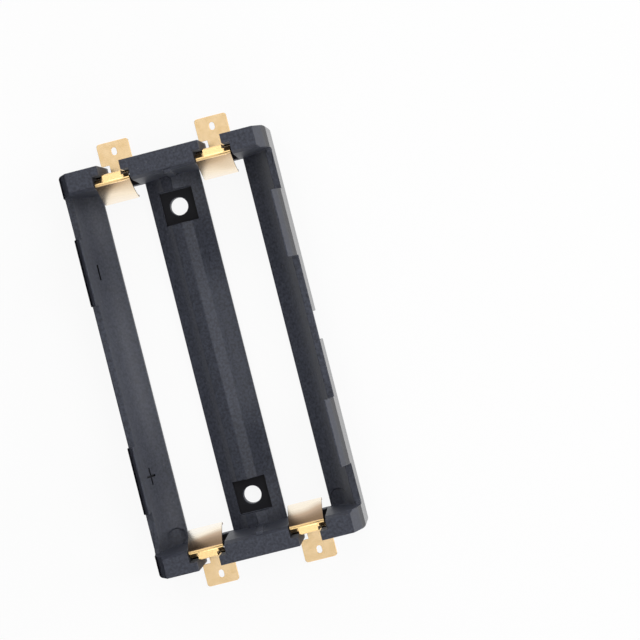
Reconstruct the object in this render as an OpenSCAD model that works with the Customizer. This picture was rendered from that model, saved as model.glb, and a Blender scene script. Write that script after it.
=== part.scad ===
// Twin holder for two 18650 cells, surface mounted.
// One moulded housing and four folded leaf contacts with solder tabs.
// X runs across the two bays, Y along the cells, Z up from the board.
// Millimetres. The origin is under the centre of the housing.

/* [Housing] */
// Length of the housing over the end walls
body_len = 77.7; // [77.7:0.1:79]
// Width of the housing at the board
body_w = 40.5; // [40.5:0.1:42]
// Height of the end walls
body_h = 15; // [14.6:0.1:16]
// Width left at the top of the sloping flanks
top_w = 36.1; // [35:0.1:37]
// Height at which the outer flanks start to lean inward
flank_z = 9.5; // [9:0.1:10.5]
// Radius of the upright corners
corner_r = 0.9; // [0.5:0.1:1.5]

/* [Cell bays] */
// Diameter of the cradle that each cell lies in
bay_d = 18.8; // [18.6:0.1:19]
// Distance between the two cell axes
cell_pitch = 19.4; // [19.4:0.1:20]
// Height of the cell axes over the board
cell_z = 9.6; // [9.6:0.05:9.9]
// Distance between the end walls at the board
bay_len = 68.44; // [68:0.02:68.6]
// Slope of the inner end wall faces, outward per millimetre of height
bay_draft = 0.037; // [0:0.001:0.045]
// Height of the ridge between the two bays
ridge_z = 5; // [4.6:0.1:6.4]
// Width of the slot through the floor of each bay
floor_slot_w = 8.7; // [7.5:0.1:9]

/* [Side walls and fingers] */
// Height of the low side walls
low_wall_z = 7.3; // [6:0.1:8.5]
// Height of the retaining fingers
finger_z = 13.4; // [12:0.1:13.8]
// Where each finger starts, from mid-length
finger_y1 = 13.7; // [10:0.1:16]
// Where each finger ends, from mid-length
finger_y2 = 26.65; // [24:0.05:29]
// Length of the notch in the middle of each outer flank
notch_len = 5.5; // [4:0.1:8]

/* [Screw pockets] */
// Distance between the two screw holes
hole_spacing = 56.7; // [54:0.1:57.5]
// Diameter of the screw holes
hole_d = 3.4; // [3:0.1:3.6]
// Size of each pocket across the housing
pocket_w = 6.35; // [5.6:0.05:6.6]
// Size of each pocket along the housing
pocket_l = 6.5; // [6:0.1:6.8]
// Height of the pocket floor
pocket_z = 2; // [1.6:0.1:2.4]

/* [Contact slots] */
// Width of each slot behind its lips
slot_w = 7.1; // [6.8:0.1:7.4]
// Gap between the two lips
lip_gap = 4.2; // [3.8:0.1:4.4]
// Thickness of the lips
lip_t = 1.78; // [1.5:0.02:2]
// Height of the floor that bridges each slot
slot_floor_z = 2; // [1.6:0.1:2.4]

/* [Contacts] */
// Thickness of the contact sheet
sheet_t = 0.3; // [0.25:0.05:0.35]
// Width of the fold and of the spring leaf
leaf_w = 6.6; // [6:0.1:6.8]
// Width of the neck that passes between the lips
neck_w = 3.1; // [2.6:0.1:3.4]
// Width of the tongue under the fold
tongue_w = 3.7; // [3.4:0.1:4]
// Width of the solder tab
tab_w = 6.3; // [5:0.1:7]
// How far the solder tabs stand out from the end walls
tab_reach = 4.85; // [4:0.05:6]

/* [Hidden] */
$fn = 96;

plastic = [0.17, 0.18, 0.2];
gold = [0.88, 0.72, 0.42];

bay_r = bay_d / 2;
bay_x = cell_pitch / 2;
end_y = body_len / 2;
floor_y = bay_len / 2;          // inner face of an end wall at the board
over = 1;                       // how far the cuts run past the faces

// Housing details
flank_w = body_w - 0.4;         // width where the flanks start to lean
roof_x = 2;                     // half-width of the ridge roof
roof_z = cell_z - sqrt(bay_r * bay_r - pow(bay_x - roof_x, 2));
lead_y = 35.25;                 // top edge of the lead-in, from mid-length
lead_slope = 0.365;             // lead-in, outward per millimetre of height
lead_h = 2.2;
end_rib_w = 1.35;
end_rib_t = 0.3;
end_rib_z = 14.2;
end_rib_x = 0.6;                // the ribs stand a little off the middle
notch_depth = 0.7;
notch_top = 0.8;                // wall left over the notch
gusset = 0.8;                   // fillets where low walls meet end walls
pin_d = 3.2;                    // ejector pin marks
pin_x = 15.95;
pin_y = 32.7;
pin_step = 0.12;

// Weight-saving hollows under the ridge
core_w = 5;
core_top_w = 1.8;
core_h = 3.3;
core_len = 10;
core_pitch = 11.6;
core_rows = [-1.5, -0.5, 0.5, 1.5];

// Contact details
leg_y = end_y - lip_t - sheet_t / 2;     // middle of the upright leg
neck_y = end_y + 0.45;                   // where the neck meets the tab
tab_y = end_y + tab_reach;
tab_r = 0.6;
tab_inner_r = 0.3;              // at the corners beside the neck
tab_hole = [1, 1.5];
tab_hole_y = end_y + 2.9;
foot_r = 0.5;                   // bend radii are to the middle of the sheet
knee_r = 0.5;
fold_r = 0.33;
leaf_r = 26;
curl_r = 0.8;
knee_end = 135;                 // headings, from 90 straight up to 270 down
fold_end = 238;
leaf_end = 256;
curl_end = 325;
fold_z = body_h - 0.4;          // top of the fold
fold_y = leg_y - 1.65;          // middle of the fold
wide_y = leg_y - 0.72;          // outer edge of the full-width fold
leg_wide_z = [slot_floor_z, 8.2];
leg_taper = 0.8;

// Where each bend of the sheet has its axis, seen from the side
function radial(heading) = [sin(heading), -cos(heading)];

foot_axis = [leg_y + foot_r, sheet_t / 2 + foot_r];
fold_axis = [fold_y, fold_z - sheet_t / 2 - fold_r];
fold_start = fold_axis + fold_r * radial(knee_end);
slope_l = (leg_y - knee_r - fold_start[0] + knee_r * sin(knee_end)) / -cos(knee_end);
knee_axis = [leg_y - knee_r, fold_start[1] - slope_l * sin(knee_end) + knee_r * cos(knee_end)];
leaf_axis = fold_axis + (fold_r - leaf_r) * radial(fold_end);
curl_axis = leaf_axis + (leaf_r - curl_r) * radial(leaf_end);

// A profile in Y and Z, drawn out across the housing
module across(w) {
    rotate([90, 0, 90]) linear_extrude(w, center = true) children();
}

// A profile in X and Z, drawn out along the housing
module along(l) {
    rotate([90, 0, 0]) linear_extrude(l, center = true) children();
}

// Repeats for both ends, both sides or all four bay ends
module both_ends() {
    children();
    mirror([0, 1, 0]) children();
}

module both_sides() {
    children();
    mirror([1, 0, 0]) children();
}

module four_ways() {
    both_sides() both_ends() children();
}

module rounded_rectangle(w, l, r) {
    square([w - 2 * r, l], center = true);
    square([w, l - 2 * r], center = true);
    for (x = [-1, 1], y = [-1, 1])
        translate([x * (w / 2 - r), y * (l / 2 - r)]) circle(r);
}

// Outer form: drafted flanks that lean inward above the cell axes
module outer_form() {
    intersection() {
        along(body_len)
            polygon([[-body_w / 2, 0], [body_w / 2, 0], [flank_w / 2, flank_z],
                     [top_w / 2, body_h], [-top_w / 2, body_h], [-flank_w / 2, flank_z]]);
        linear_extrude(body_h) rounded_rectangle(body_w, body_len, corner_r);
    }
}

// All that lies between the drafted inner faces of the end walls
module between_end_walls() {
    top = 2 * body_h;
    across(2 * body_w)
        polygon([[-floor_y, 0], [floor_y, 0], [floor_y + bay_draft * top, top],
                 [-floor_y - bay_draft * top, top]]);
}

// Room for the two cells, with the roofed ridge between them
module bay_space() {
    both_sides() translate([bay_x, 0, cell_z]) rotate([90, 0, 0])
        cylinder(h = body_len, r = bay_r, center = true);
    along(body_len)
        polygon([[-roof_x, roof_z], [0, ridge_z], [roof_x, roof_z],
                 [2 * roof_x, 2 * body_h], [-2 * roof_x, 2 * body_h]]);
}

// Everything above the low walls, apart from the fingers
module side_clearance() {
    translate([bay_x, -finger_y1, low_wall_z]) cube([body_w, 2 * finger_y1, body_h]);
    both_ends() translate([bay_x, finger_y2, low_wall_z]) cube([body_w, body_len, body_h]);
    translate([bay_x, -body_len, finger_z]) cube([body_w, 2 * body_len, body_h]);
}

module floor_slot() {
    translate([bay_x - floor_slot_w / 2 - 0.05, -floor_y, -over])
        cube([floor_slot_w, bay_len, 2 * over + pocket_z]);
}

module screw_pocket() {
    translate([0, hole_spacing / 2, 0]) {
        translate([-pocket_w / 2, -pocket_l / 2, pocket_z]) cube([pocket_w, pocket_l, body_h]);
        translate([0, 0, -over]) cylinder(h = pocket_z + 2 * over, d = hole_d);
    }
}

// Open-ended slot with two lips that hold the contact's leg
module contact_slot() {
    back_y = end_y - lip_t;
    gap_y = back_y - 1.5 * sheet_t;
    translate([bay_x - slot_w / 2, floor_y - over, slot_floor_z])
        cube([slot_w, back_y - floor_y + over, body_h]);
    translate([bay_x - lip_gap / 2, gap_y, -over])
        cube([lip_gap, end_y - gap_y + over, body_h + 2 * over]);
}

// Sloping top edge that guides a cell between its contacts
module lead_in() {
    translate([0, lead_y, body_h]) across(2 * body_w)
        polygon([[lead_slope, 1], [-lead_slope * lead_h, -lead_h], [-2, -lead_h], [-2, 1]]);
}

module end_rib() {
    foot_y = floor_y - end_rib_t;
    translate([end_rib_x, 0, 0]) across(end_rib_w)
        polygon([[foot_y, roof_z], [floor_y + over, roof_z], [floor_y + over, end_rib_z],
                 [foot_y + bay_draft * end_rib_z, end_rib_z]]);
}

module wall_gusset() {
    inner_y = floor_y + bay_draft * low_wall_z;
    translate([flank_w / 2 - 0.5, 0, 0]) across(0.9)
        polygon([[inner_y + 0.3, low_wall_z - 0.3], [inner_y - gusset, low_wall_z - 0.3],
                 [inner_y - gusset, low_wall_z], [inner_y, low_wall_z + gusset],
                 [inner_y + 0.3, low_wall_z + gusset]]);
}

module flank_notch() {
    translate([body_w / 2 - notch_depth - 0.05, -notch_len / 2, -over])
        cube([2, notch_len, low_wall_z - notch_top + over]);
}

// Faint round step that an ejector pin leaves in the cradle
module pin_mark() {
    intersection() {
        translate([bay_x, -pin_y, cell_z]) rotate([90, 0, 0])
            cylinder(h = 2 * pin_d, r = bay_r + pin_step, center = true);
        translate([pin_x, -pin_y, 0]) cylinder(h = cell_z, d = pin_d);
    }
}

module ridge_cores() {
    for (row = core_rows) translate([0, row * core_pitch, 0]) along(core_len)
        polygon([[-core_w / 2, -over], [core_w / 2, -over], [core_w / 2, 0],
                 [core_top_w / 2, core_h], [-core_top_w / 2, core_h], [-core_w / 2, 0]]);
}

module housing() {
    color(plastic) {
        difference() {
            outer_form();
            intersection() {
                between_end_walls();
                union() {
                    bay_space();
                    both_sides() side_clearance();
                }
            }
            both_sides() {
                floor_slot();
                flank_notch();
                pin_mark();
            }
            both_ends() {
                screw_pocket();
                lead_in();
            }
            four_ways() contact_slot();
            ridge_cores();
        }
        both_ends() end_rib();
        four_ways() wall_gusset();
    }
}

// One bend of the sheet, clipped where it meets its neighbours. Headings that
// fall turn it the other way; a neighbour's axis keeps the shared edge in line
module bend(axis, r, from, to, before = undef, after = undef) {
    reach = (to > from ? 1 : -1) * (r + sheet_t);
    start = is_undef(before) ? axis : before;
    end = is_undef(after) ? axis : after;
    intersection() {
        translate(axis) difference() {
            circle(r + sheet_t / 2);
            circle(r - sheet_t / 2);
        }
        polygon([start, axis + reach * radial(from),
                 axis + reach / cos((to - from) / 2) * radial((from + to) / 2),
                 axis + reach * radial(to), end]);
    }
}

// One straight stretch of the sheet
module stretch(from, to) {
    course = (to - from) / norm(to - from);
    edge = sheet_t / 2 * [-course[1], course[0]];
    polygon([from + edge, from - edge, to - edge, to + edge]);
}

// The sheet seen from the side, from the solder tab to the curled tip
module sheet_profile() {
    stretch([tab_y, sheet_t / 2], [foot_axis[0], sheet_t / 2]);
    bend(foot_axis, foot_r, 180, 90);
    stretch([leg_y, foot_axis[1]], [leg_y, knee_axis[1]]);
    bend(knee_axis, knee_r, 90, knee_end);
    stretch(knee_axis + knee_r * radial(knee_end), fold_start);
    bend(fold_axis, fold_r, knee_end, fold_end);
    bend(leaf_axis, leaf_r, fold_end, leaf_end, fold_axis, curl_axis);
    bend(curl_axis, curl_r, leaf_end, curl_end);
}

// Outlines that give the sheet its width along the way
module tab_outline() {
    translate([-neck_w / 2, leg_y]) square([neck_w, neck_y - leg_y + tab_r]);
    translate([0, (neck_y + tab_y) / 2]) rounded_rectangle(tab_w, tab_y - neck_y, tab_r);
    translate([0, (neck_y + tab_hole_y) / 2])
        rounded_rectangle(tab_w, tab_hole_y - neck_y, tab_inner_r);
}

module leg_outline() {
    polygon([[-neck_w / 2, -over], [neck_w / 2, -over], [neck_w / 2, leg_wide_z[0]],
             [slot_w / 2, leg_wide_z[0]], [slot_w / 2, leg_wide_z[1]],
             [tongue_w / 2, leg_wide_z[1] + leg_taper], [tongue_w / 2, body_h],
             [-tongue_w / 2, body_h], [-tongue_w / 2, leg_wide_z[1] + leg_taper],
             [-slot_w / 2, leg_wide_z[1]], [-slot_w / 2, leg_wide_z[0]],
             [-neck_w / 2, leg_wide_z[0]]]);
}

module solder_hole() {
    slide = (tab_hole[1] - tab_hole[0]) / 2;
    translate([0, tab_hole_y, -over]) {
        for (s = [-1, 1]) translate([0, s * slide, 0])
            cylinder(h = 3 * over, d = tab_hole[0]);
        translate([-tab_hole[0] / 2, -slide, 0]) cube([tab_hole[0], 2 * slide, 3 * over]);
    }
}

module contact() {
    color(gold) difference() {
        intersection() {
            across(slot_w) sheet_profile();
            union() {
                translate([0, 0, -over]) linear_extrude(2 * over) tab_outline();
                translate([0, leg_y, 0]) along(2 * (leg_y - wide_y)) leg_outline();
                translate([-leaf_w / 2, 0, over]) cube([leaf_w, wide_y, body_h]);
            }
        }
        solder_hole();
    }
}

module contact_rear_left() {
    translate([-bay_x, 0, 0]) contact();
}

module contact_rear_right() {
    translate([bay_x, 0, 0]) contact();
}

module contact_front_left() {
    mirror([0, 1, 0]) contact_rear_left();
}

module contact_front_right() {
    mirror([0, 1, 0]) contact_rear_right();
}

housing();
contact_rear_left();
contact_rear_right();
contact_front_left();
contact_front_right();
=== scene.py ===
import math

import bpy
from mathutils import Matrix, Vector


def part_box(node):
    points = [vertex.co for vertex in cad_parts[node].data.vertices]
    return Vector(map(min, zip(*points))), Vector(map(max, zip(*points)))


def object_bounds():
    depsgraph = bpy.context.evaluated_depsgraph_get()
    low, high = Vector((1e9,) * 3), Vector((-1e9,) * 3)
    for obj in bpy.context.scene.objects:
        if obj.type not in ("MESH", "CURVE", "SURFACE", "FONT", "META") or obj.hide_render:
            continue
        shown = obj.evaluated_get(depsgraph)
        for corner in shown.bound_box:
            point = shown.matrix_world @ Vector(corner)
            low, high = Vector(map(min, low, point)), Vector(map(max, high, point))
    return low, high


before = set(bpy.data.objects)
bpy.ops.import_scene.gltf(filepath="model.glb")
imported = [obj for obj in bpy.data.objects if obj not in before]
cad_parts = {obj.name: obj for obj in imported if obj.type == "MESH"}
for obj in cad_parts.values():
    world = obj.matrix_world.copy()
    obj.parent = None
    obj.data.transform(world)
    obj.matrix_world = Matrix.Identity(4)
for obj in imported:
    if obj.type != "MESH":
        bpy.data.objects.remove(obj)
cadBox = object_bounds()
mm = 0.001
perMm = 1 / mm
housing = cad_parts["housing"]
contacts = [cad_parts[name] for name in sorted(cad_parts) if name.startswith("contact_")]
print("frame loaded:", housing.name, "and", len(contacts), "contacts")


# Small helpers for meshes and node trees

def addObject(name, data):
    thing = bpy.data.objects.new(name, data)
    bpy.context.scene.collection.objects.link(thing)
    return thing


def meshObject(name, points, faces):
    mesh = bpy.data.meshes.new(name)
    mesh.from_pydata(points, [], faces)
    mesh.update()
    return addObject(name, mesh)


def addNode(tree, kind, **values):
    node = tree.nodes.new(kind)
    for key, value in values.items():
        socket = key.replace("_", " ")
        if socket in node.inputs:
            node.inputs[socket].default_value = value
        else:
            setattr(node, key, value)
    return node


def feed(tree, source, socket):
    # a link from another node's output, or a plain value
    if isinstance(source, bpy.types.NodeSocket):
        tree.links.new(source, socket)
    else:
        socket.default_value = source


def mathNode(tree, operation, *terms):
    node = addNode(tree, "ShaderNodeMath", operation=operation)
    for socket, term in zip(node.inputs, terms):
        feed(tree, term, socket)
    return node.outputs["Value"]


def rangeNode(tree, source, given=(0.0, 1.0), wanted=(0.0, 1.0)):
    # turns the given range into the wanted one, held at its ends
    node = addNode(tree, "ShaderNodeMapRange", From_Min=given[0], From_Max=given[1],
                   To_Min=wanted[0], To_Max=wanted[1])
    feed(tree, source, node.inputs["Value"])
    return node.outputs["Result"]


# Where a mix node keeps its two inputs and its result, by the kind of data
mixSockets = {"FLOAT": (2, 3, 0), "RGBA": (6, 7, 2)}


def mixNode(tree, kind, factor, first, second):
    node = addNode(tree, "ShaderNodeMix", data_type=kind)
    firstAt, secondAt, resultAt = mixSockets[kind]
    feed(tree, factor, node.inputs["Factor"])
    feed(tree, first, node.inputs[firstAt])
    feed(tree, second, node.inputs[secondAt])
    return node.outputs[resultAt]


def splitAxes(tree, kind, output):
    # the X, Y and Z of one output of a node of this kind
    source = addNode(tree, kind)
    axes = addNode(tree, "ShaderNodeSeparateXYZ")
    tree.links.new(source.outputs[output], axes.inputs["Vector"])
    return axes.outputs


def objectAxes(tree):
    return splitAxes(tree, "ShaderNodeTexCoord", "Object")


def placeInMm(tree):
    place = addNode(tree, "ShaderNodeTexCoord")
    inMm = addNode(tree, "ShaderNodeMapping", Scale=(perMm, perMm, perMm))
    tree.links.new(place.outputs["Object"], inMm.inputs["Vector"])
    return inMm.outputs["Vector"]


def newMaterial(name):
    material = bpy.data.materials.new(name)
    material.use_nodes = True
    tree = material.node_tree
    tree.nodes.clear()
    out = tree.nodes.new("ShaderNodeOutputMaterial")
    return material, tree, out.inputs["Surface"]


def newGroup(name, inputs, outputs):
    group = bpy.data.node_groups.new(name, "ShaderNodeTree")
    for label, value in inputs.items():
        socket = group.interface.new_socket(label, in_out="INPUT", socket_type="NodeSocketFloat")
        socket.default_value = value
    for label in outputs:
        group.interface.new_socket(label, in_out="OUTPUT", socket_type="NodeSocketFloat")
    return group, group.nodes.new("NodeGroupInput"), group.nodes.new("NodeGroupOutput")


# The surface grain that both materials use, in millimetres over the object
grainValues = {
    "fine": {"Detail": 3.0, "Roughness": 0.6},
    "clouds": {"Detail": 4.0, "Roughness": 0.55},
    "specksPerMm": 0.55,
    "speckEdge": (0.05, 0.09),    # a speck fades out between these distances
}


def makeGrainGroup():
    group, given, result = newGroup(
        "surfaceGrain",
        {"Grain per mm": 5.0, "Stretch": 1.0, "Clouds per mm": 0.3},
        ["Height", "Clouds", "Specks"])
    link = group.links.new
    inMm = placeInMm(group)
    across = addNode(group, "ShaderNodeCombineXYZ", Y=1.0, Z=1.0)
    link(given.outputs["Stretch"], across.inputs["X"])
    drawn = addNode(group, "ShaderNodeVectorMath", operation="MULTIPLY")
    link(inMm, drawn.inputs[0])
    link(across.outputs["Vector"], drawn.inputs[1])
    fine = addNode(group, "ShaderNodeTexNoise", **grainValues["fine"])
    link(drawn.outputs["Vector"], fine.inputs["Vector"])
    link(given.outputs["Grain per mm"], fine.inputs["Scale"])
    link(fine.outputs["Fac"], result.inputs["Height"])
    clouds = addNode(group, "ShaderNodeTexNoise", **grainValues["clouds"])
    link(inMm, clouds.inputs["Vector"])
    link(given.outputs["Clouds per mm"], clouds.inputs["Scale"])
    link(clouds.outputs["Fac"], result.inputs["Clouds"])
    dust = addNode(group, "ShaderNodeTexVoronoi", Scale=grainValues["specksPerMm"])
    link(inMm, dust.inputs["Vector"])
    near = rangeNode(group, dust.outputs["Distance"], grainValues["speckEdge"], (1.0, 0.0))
    link(near, result.inputs["Specks"])
    return group


grainGroup = makeGrainGroup()


def startSurface(name, values, **finish):
    # a principled shader that already has the grain's bump
    material, tree, surface = newMaterial(name)
    link = tree.links.new
    shader = addNode(tree, "ShaderNodeBsdfPrincipled", **finish)
    link(shader.outputs["BSDF"], surface)
    grain = addNode(tree, "ShaderNodeGroup", node_tree=grainGroup)
    for label, value in values["grain"].items():
        grain.inputs[label].default_value = value
    bump = addNode(tree, "ShaderNodeBump", Strength=values["bump"], Distance=values["bumpDepth"])
    link(grain.outputs["Height"], bump.inputs["Height"])
    link(bump.outputs["Normal"], shader.inputs["Normal"])
    return material, tree, shader, grain.outputs


# Moulded plastic: near black with a blue cast, satin, finely spark-textured
plastic = {
    "dark": (0.0235, 0.0260, 0.0380),
    "pale": (0.0545, 0.0610, 0.0850),
    "cloudRange": (0.35, 0.65),              # from dark to pale
    "speck": (0.16, 0.16, 0.17, 1),
    "speckShare": 0.35,
    "pocket": (0.0110, 0.0110, 0.0140, 1),   # painted shade on the floors of the screw pockets
    "pocketHeight": (2.0 * mm, 0.1 * mm),    # and how far a floor may be from it
    "pocketLevel": 0.98,                     # least upward part of a floor's normal
    "flank": (0.0120, 0.0125, 0.0180, 1),    # painted shade on the polished outer flanks
    "flankReach": 16.5 * mm,
    "flankFade": (10.6 * mm, 12.0 * mm),     # polish and painted shade end between these heights
    "flankRoughness": 0.24,
    "grooveShade": 0.15,                          # painted shade: share of the tone left in the cut signs
    "sheen": (0.50, 0.18),                   # on the outside, and lowered in the pockets as painted shade
    "refraction": 1.46,
    "roughness": (0.42, 0.56),
    "roughnessRange": (0.3, 0.7),            # clouds that give the two roughnesses
    "grain": {"Grain per mm": 3.5, "Stretch": 1.0, "Clouds per mm": 2.0},
    "bump": 0.45,
    "bumpDepth": 0.02 * mm,
}


def pocketMask(tree):
    # 1 on level faces at the height of the pocket floors, which get painted shade
    near = mathNode(tree, "COMPARE", objectAxes(tree)["Z"], *plastic["pocketHeight"])
    upward = splitAxes(tree, "ShaderNodeNewGeometry", "True Normal")["Z"]
    level = mathNode(tree, "GREATER_THAN", upward, plastic["pocketLevel"])
    return mathNode(tree, "MULTIPLY", near, level)


def flankMask(tree):
    # 1 on faces that point outward, well away from the middle, for polish and painted shade
    axes = objectAxes(tree)
    sideways = splitAxes(tree, "ShaderNodeNewGeometry", "True Normal")["X"]
    outward = mathNode(tree, "MULTIPLY", axes["X"], sideways)
    far = mathNode(tree, "GREATER_THAN", outward, plastic["flankReach"])
    under = rangeNode(tree, axes["Z"], plastic["flankFade"], (1.0, 0.0))
    return mathNode(tree, "MULTIPLY", far, under)


def makePlastic(name, toneShare):
    material, tree, shader, grain = startSurface(name, plastic, IOR=plastic["refraction"])
    dark, pale = ([toneShare * part for part in plastic[label]] + [1] for label in ("dark", "pale"))
    clouds = rangeNode(tree, grain["Clouds"], plastic["cloudRange"])
    tone = mixNode(tree, "RGBA", clouds, dark, pale)
    specks = mathNode(tree, "MULTIPLY", grain["Specks"], plastic["speckShare"])
    dusted = mixNode(tree, "RGBA", specks, tone, plastic["speck"])
    # the pocket floors get a darker colour and less sheen, painted shade in the recess
    pocket = pocketMask(tree)
    pocketShaded = mixNode(tree, "RGBA", pocket, dusted, plastic["pocket"])
    # the outer flanks get a darker colour as painted shade, and a lower roughness as polish
    flank = flankMask(tree)
    flanked = mixNode(tree, "RGBA", flank, pocketShaded, plastic["flank"])
    feed(tree, flanked, shader.inputs["Base Color"])
    sheen = rangeNode(tree, pocket, wanted=plastic["sheen"])
    feed(tree, sheen, shader.inputs["Specular IOR Level"])
    satin = rangeNode(tree, grain["Clouds"], plastic["roughnessRange"], plastic["roughness"])
    polish = mixNode(tree, "FLOAT", flank, satin, plastic["flankRoughness"])
    feed(tree, polish, shader.inputs["Roughness"])
    return material


# Gold flash on rolled spring sheet, with bare sheared edges
gold = {
    "deep": (0.90, 0.64, 0.34, 1),
    "pale": (0.97, 0.72, 0.42, 1),
    "cloudRange": (0.3, 0.6),             # from deep to pale
    "fold": (0.89, 0.62, 0.29, 1),
    "foldHeight": (9 * mm, 10 * mm),      # from tab tone to fold tone
    "sheared": (0.42, 0.26, 0.11, 1),
    "shearedRange": (0.75, 0.95),         # sideways part of the normal
    "leaf": (31.6 * mm, 35.1 * mm),       # from the tip of the leaf to the fold
    "leafBlend": 0.12 * mm,               # over which the leaf's tone ends at the fold
    "leafWave": {"Scale": 0.12, "Detail": 0.0},
    "leafSway": 1.6 * mm,
    "rearLeafReflection": {"reflectionReach": 0.62, "reflectionCover": 0.75},   # the rear leaves get a weaker painted reflection
    "rearFade": (-1 * mm, 1 * mm),
    "leafReflectionTones": [                        # painted reflection: near white at the tip for the bright floor, dark brown by the fold for the dark housing
        (0.00, (1.00, 0.95, 0.86, 1)),
        (0.25, (0.98, 0.88, 0.72, 1)),
        (0.48, (0.58, 0.43, 0.30, 1)),
        (0.72, (0.36, 0.25, 0.165, 1)),
        (0.93, (0.28, 0.185, 0.11, 1)),
    ],
    "roughness": (0.15, 0.24),
    "roughnessRange": (0.3, 0.7),         # grain that gives the two roughnesses
    "grain": {"Grain per mm": 3.0, "Stretch": 5.0, "Clouds per mm": 0.6},
    "bump": 0.06,
    "bumpDepth": 0.01 * mm,
}


def leafReflectionTone(tree, plain):
    # painted reflection along each spring leaf, inward of the fold
    axes = objectAxes(tree)
    away = mathNode(tree, "ABSOLUTE", axes["Y"])
    tip, fold = gold["leaf"]
    swell = addNode(tree, "ShaderNodeTexNoise", **gold["leafWave"])
    feed(tree, placeInMm(tree), swell.inputs["Vector"])
    wave = rangeNode(tree, swell.outputs["Fac"], wanted=(-gold["leafSway"], gold["leafSway"]))
    wavy = mathNode(tree, "ADD", away, wave)
    along = rangeNode(tree, wavy, (tip, fold))
    rearMost = {label: rangeNode(tree, axes["Y"], gold["rearFade"], (1.0, share))
                for label, share in gold["rearLeafReflection"].items()}
    tones = addNode(tree, "ShaderNodeValToRGB")
    stops = tones.color_ramp.elements
    while len(stops) < len(gold["leafReflectionTones"]):
        stops.new(0.5)            # each gets its own position below
    for stop, (position, colour) in zip(stops, gold["leafReflectionTones"]):
        stop.position = position
        stop.color = colour
    feed(tree, mathNode(tree, "MULTIPLY", along, rearMost["reflectionReach"]), tones.inputs["Fac"])
    inward = rangeNode(tree, away, (fold - gold["leafBlend"], fold), (1.0, 0.0))
    reflectionCover = mathNode(tree, "MULTIPLY", inward, rearMost["reflectionCover"])
    return mixNode(tree, "RGBA", reflectionCover, plain, tones.outputs["Color"])


def makeGold(name):
    material, tree, shader, grain = startSurface(name, gold, Metallic=1.0)
    clouds = rangeNode(tree, grain["Clouds"], gold["cloudRange"])
    tone = mixNode(tree, "RGBA", clouds, gold["deep"], gold["pale"])
    high = rangeNode(tree, objectAxes(tree)["Z"], gold["foldHeight"])
    folded = mixNode(tree, "RGBA", high, tone, gold["fold"])
    # the leaves get a painted reflection over the tab and fold tones
    leaf = leafReflectionTone(tree, folded)
    sideways = splitAxes(tree, "ShaderNodeNewGeometry", "Normal")["X"]
    cut = rangeNode(tree, mathNode(tree, "ABSOLUTE", sideways), gold["shearedRange"])
    edged = mixNode(tree, "RGBA", cut, leaf, gold["sheared"])
    feed(tree, edged, shader.inputs["Base Color"])
    satin = rangeNode(tree, grain["Height"], gold["roughnessRange"], gold["roughness"])
    feed(tree, satin, shader.inputs["Roughness"])
    return material


def dress(node, material):
    for slot in node.material_slots:
        slot.material = material


dress(housing, makePlastic("housingPlastic", 1.0))
# a darker copy of the plastic, painted shade in the cut signs
grooveShadePlastic = makePlastic("grooveShadePlastic", plastic["grooveShade"])
goldSheet = makeGold("contactGold")
for contact in contacts:
    dress(contact, goldSheet)
print("materials placed")


# Small rounded edges on each node, above its foot
edges = {
    "housing": {"width": 0.13 * mm, "steps": 2, "angle": 28, "above": 1.0 * mm},
    "contact": {"width": 0.04 * mm, "steps": 2, "angle": 40, "above": 0.05 * mm},
    "weldGap": 0.001 * mm,
    "flatAngle": 0.4,
    "crispAngle": 50,             # edges left this sharp keep a crisp shade
    "crispAbove": -1.0,           # metres, so at every height
    "largeFaceWeight": 80,        # how far large faces lead the averaged normals
}


def makeEdgePicker(name, attribute, kind):
    # marks the edges that bend more than an angle, above a height
    group = bpy.data.node_groups.new(name, "GeometryNodeTree")
    group.interface.new_socket("Geometry", in_out="INPUT", socket_type="NodeSocketGeometry")
    group.interface.new_socket("Angle", in_out="INPUT", socket_type="NodeSocketFloat")
    group.interface.new_socket("Above", in_out="INPUT", socket_type="NodeSocketFloat")
    group.interface.new_socket("Geometry", in_out="OUTPUT", socket_type="NodeSocketGeometry")
    given = group.nodes.new("NodeGroupInput").outputs
    result = group.nodes.new("NodeGroupOutput").inputs
    bend = addNode(group, "GeometryNodeInputMeshEdgeAngle").outputs["Unsigned Angle"]
    sharp = mathNode(group, "GREATER_THAN", bend, given["Angle"])
    height = splitAxes(group, "GeometryNodeInputPosition", "Position")["Z"]
    high = mathNode(group, "GREATER_THAN", height, given["Above"])
    store = addNode(group, "GeometryNodeStoreNamedAttribute", data_type=kind, domain="EDGE",
                    Name=attribute)
    feed(group, given["Geometry"], store.inputs["Geometry"])
    feed(group, mathNode(group, "MULTIPLY", sharp, high), store.inputs["Value"])
    feed(group, store.outputs["Geometry"], result["Geometry"])
    return group


edgePicker = makeEdgePicker("edgePicker", "bevel_weight_edge", "FLOAT")
crispPicker = makeEdgePicker("crispPicker", "sharp_edge", "BOOLEAN")


def pickEdges(node, group, angle, above):
    pick = node.modifiers.new(group.name, "NODES")
    pick.node_group = group
    pick[group.interface.items_tree["Angle"].identifier] = math.radians(angle)
    pick[group.interface.items_tree["Above"].identifier] = above


def roundEdges(node, values):
    weld = node.modifiers.new("weld", "WELD")
    weld.merge_threshold = edges["weldGap"]
    pickEdges(node, edgePicker, values["angle"], values["above"])   # the foot stays sharp
    rounding = node.modifiers.new("rounding", "BEVEL")
    rounding.width = values["width"]
    rounding.segments = values["steps"]
    rounding.limit_method = "WEIGHT"
    rounding.use_clamp_overlap = False
    rounding.miter_outer = "MITER_ARC"
    flat = node.modifiers.new("flatFaces", "DECIMATE")
    flat.decimate_type = "DISSOLVE"
    flat.angle_limit = math.radians(edges["flatAngle"])


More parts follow.
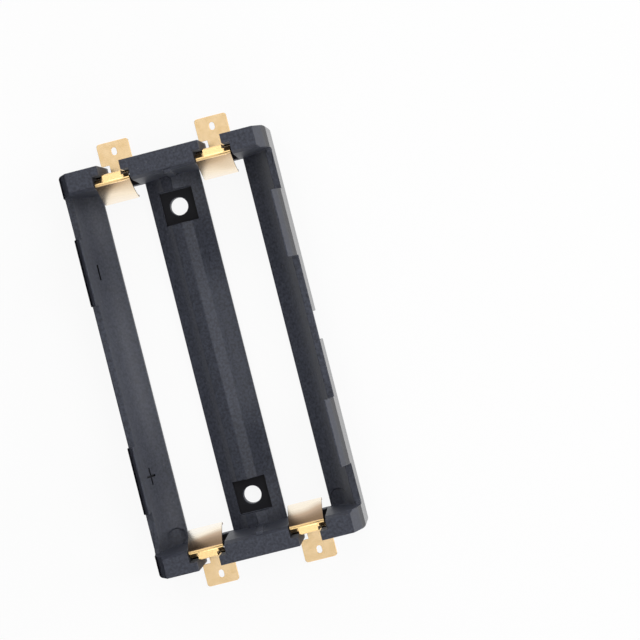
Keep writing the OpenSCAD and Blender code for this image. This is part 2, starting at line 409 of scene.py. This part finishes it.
def evenNormals(node):
    pickEdges(node, crispPicker, edges["crispAngle"], edges["crispAbove"])
    shade = node.modifiers.new("evenNormals", "WEIGHTED_NORMAL")
    shade.weight = edges["largeFaceWeight"]
    shade.keep_sharp = True


roundEdges(housing, edges["housing"])
for contact in contacts:
    roundEdges(contact, edges["contact"])
print("edges rounded")


# Polarity signs cut into the cradle wall, within the two left fingers
signs = {
    "cradleRadius": 9.4 * mm,
    "axisHeight": 9.6 * mm,
    "depth": 0.45 * mm,
    "angle": 212.0,               # around the cell axis, from +X
    "stroke": 0.40 * mm,
    "minus": {"along": 3.0 * mm, "middle": 19.85 * mm},
    "plus": {"along": 3.3 * mm, "middle": -20.15 * mm, "around": 2.5 * mm, "thin": 0.34 * mm},
    "arcSteps": 12,
}


def cutStroke(name, middleY, lengthY, lengthAround):
    # a short bar bent round the cradle, taken out of the housing
    axisX = sum(corner.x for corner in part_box("contact_rear_left")) / 2
    innerR = signs["cradleRadius"] - signs["depth"]
    outerR = signs["cradleRadius"] + signs["depth"]
    halfTurn = lengthAround / signs["cradleRadius"] / 2
    section = ((innerR, -1), (outerR, -1), (outerR, 1), (innerR, 1))
    corners = len(section)
    points = []
    for step in range(signs["arcSteps"] + 1):
        share = step / signs["arcSteps"]
        turn = math.radians(signs["angle"]) + halfTurn * (2 * share - 1)
        for r, side in section:
            points.append((axisX + r * math.cos(turn), middleY + side * lengthY / 2,
                           signs["axisHeight"] + r * math.sin(turn)))
    last = corners * signs["arcSteps"]
    faces = [tuple(reversed(range(corners))), tuple(range(last, last + corners))]
    for start in range(0, last, corners):
        for corner in range(corners):
            after = (corner + 1) % corners
            faces.append((start + corner, start + after,
                          start + corners + after, start + corners + corner))
    cutter = meshObject(name, points, faces)
    # the cut faces take the darker plastic, painted shade
    cutter.data.materials.append(grooveShadePlastic)
    cutter.hide_render = True
    cutter.hide_viewport = True
    cut = housing.modifiers.new(name, "BOOLEAN")
    cut.operation = "DIFFERENCE"
    cut.solver = "EXACT"
    cut.material_mode = "TRANSFER"
    cut.object = cutter


minus, plus = signs["minus"], signs["plus"]
cutStroke("signMinus", minus["middle"], minus["along"], signs["stroke"])
cutStroke("signPlusAlong", plus["middle"], plus["along"], plus["thin"])
cutStroke("signPlusAround", plus["middle"], signs["stroke"], plus["around"])
evenNormals(housing)
for contact in contacts:
    evenNormals(contact)
print("polarity signs cut")


# Floor, lamps and world, in metres
studio = {
    "floorSize": 4.0,
    "floorGap": 0.02 * mm,        # under the solder tabs
    "floorColor": (0.93, 0.93, 0.93, 1),
    "floorSeen": 0.90,            # share of plain white that the camera sees
    "reflectedShadeFade": (-24 * mm, -15 * mm),   # reflections see a black floor, painted shade, left of this strip, as far as this to either end
    "reflectedShadeHalf": 60 * mm,                 # as far as this to either end
    "white": (1, 1, 1, 1),
    "worldLight": 0.05,
    "worldSeen": 1.0,
    "lamps": {
        "rearLamp": {"size": 0.70, "power": 2.0, "from": (0.0, 0.46, 0.386)},
        "frontLamp": {"size": 0.70, "power": 1.65, "from": (0.0, -0.46, 0.386)},
        "lowLamp": {"size": 0.25, "power": 1.6, "from": (0.58, 0.0, 0.13)},
        "rightLamp": {"size": 0.35, "power": 0.9, "from": (0.40, 0.0, 0.45)},
        "leftLamp": {"size": 0.35, "power": 0.25, "from": (-0.40, 0.0, 0.45)},
        "topLamp": {"size": 0.48, "power": 0.64, "from": (-0.15, 0.04, 0.88)},
        "rearStrip": {"size": 0.22, "power": 0.40, "from": (0.0, 0.62, 0.10)},
        "frontStrip": {"size": 0.22, "power": 0.40, "from": (0.0, -0.62, 0.10)},
    },
}


def seenDirectly(tree, path):
    # 1 for what the camera sees, directly or through glass
    return mathNode(tree, "MAXIMUM", path["Is Camera Ray"], path["Is Transmission Ray"])


def makeFloor():
    half = studio["floorSize"] / 2
    z = cadBox[0][2] - studio["floorGap"]
    floor = meshObject("floor", [(-half, -half, z), (half, -half, z), (half, half, z), (-half, half, z)],
                       [(0, 1, 2, 3)])
    material, tree, surface = newMaterial("floorPaper")
    path = addNode(tree, "ShaderNodeLightPath").outputs
    direct = seenDirectly(tree, path)
    axes = objectAxes(tree)
    # painted shade: left of the strip, near the holder, reflections see a black floor
    fade = rangeNode(tree, axes["X"], studio["reflectedShadeFade"])
    away = mathNode(tree, "ABSOLUTE", axes["Y"])
    beyond = mathNode(tree, "GREATER_THAN", away, studio["reflectedShadeHalf"])
    clear = mathNode(tree, "MAXIMUM", beyond, fade)
    paper = addNode(tree, "ShaderNodeBsdfDiffuse", Color=studio["floorColor"])
    white = addNode(tree, "ShaderNodeEmission", Color=studio["white"])
    feed(tree, mathNode(tree, "MAXIMUM", direct, clear), white.inputs["Strength"])
    share = mathNode(tree, "MULTIPLY", direct, studio["floorSeen"])
    mix = addNode(tree, "ShaderNodeMixShader")
    feed(tree, mathNode(tree, "MAXIMUM", share, path["Is Glossy Ray"]), mix.inputs["Fac"])
    feed(tree, paper.outputs["BSDF"], mix.inputs[1])
    feed(tree, white.outputs["Emission"], mix.inputs[2])
    feed(tree, mix.outputs["Shader"], surface)
    floor.data.materials.append(material)


def makeLamp(name, values):
    lamp = bpy.data.lights.new(name, "AREA")
    lamp.size = values["size"]
    lamp.energy = values["power"]
    thing = addObject(name, lamp)
    thing.location = values["from"]
    thing.rotation_euler = (-Vector(values["from"])).to_track_quat("-Z", "Y").to_euler()


def makeWorld():
    # a faint light on the part, and plain white where the camera sees past the floor
    world = bpy.data.worlds.new("studioWorld")
    bpy.context.scene.world = world
    world.use_nodes = True
    tree = world.node_tree
    tree.nodes.clear()
    out = addNode(tree, "ShaderNodeOutputWorld")
    path = addNode(tree, "ShaderNodeLightPath").outputs
    light = addNode(tree, "ShaderNodeBackground", Color=studio["white"], Strength=studio["worldLight"])
    seen = addNode(tree, "ShaderNodeBackground", Color=studio["white"], Strength=studio["worldSeen"])
    mix = addNode(tree, "ShaderNodeMixShader")
    feed(tree, seenDirectly(tree, path), mix.inputs["Fac"])
    feed(tree, light.outputs["Background"], mix.inputs[1])
    feed(tree, seen.outputs["Background"], mix.inputs[2])
    feed(tree, mix.outputs["Shader"], out.inputs["Surface"])


makeFloor()
makeWorld()
for lampName, lampValues in studio["lamps"].items():
    makeLamp(lampName, lampValues)
print("studio lit")


# Camera almost straight above, the holder lying aslant in the left of the frame
shot = {
    "target": (20.6 * mm, 0.74 * mm),    # from the middle of the holder
    "distance": 471.4 * mm,
    "nearest": 10 * mm,                  # anything closer is not drawn
    "lean": (-0.0586, -0.0102),          # sideways part of the view direction
    "roll": 14.26,
    "lens": 138.8,
}


def makeCamera():
    low, high = Vector(cadBox[0]), Vector(cadBox[1])
    middle = (low + high) / 2
    target = Vector((middle.x + shot["target"][0], middle.y + shot["target"][1], low.z))
    view = Vector((shot["lean"][0], shot["lean"][1], -1)).normalized()
    roll = math.radians(shot["roll"])
    right = view.cross(Vector((math.sin(roll), math.cos(roll), 0))).normalized()
    up = right.cross(view)
    data = bpy.data.cameras.new("camera")
    data.lens = shot["lens"]
    data.clip_start = shot["nearest"]
    camera = addObject("camera", data)
    turn = Matrix((right, up, -view)).transposed()
    camera.matrix_world = Matrix.Translation(target - view * shot["distance"]) @ turn.to_4x4()
    bpy.context.scene.camera = camera


makeCamera()
bpy.context.scene.view_settings.view_transform = "Standard"
print("camera set")
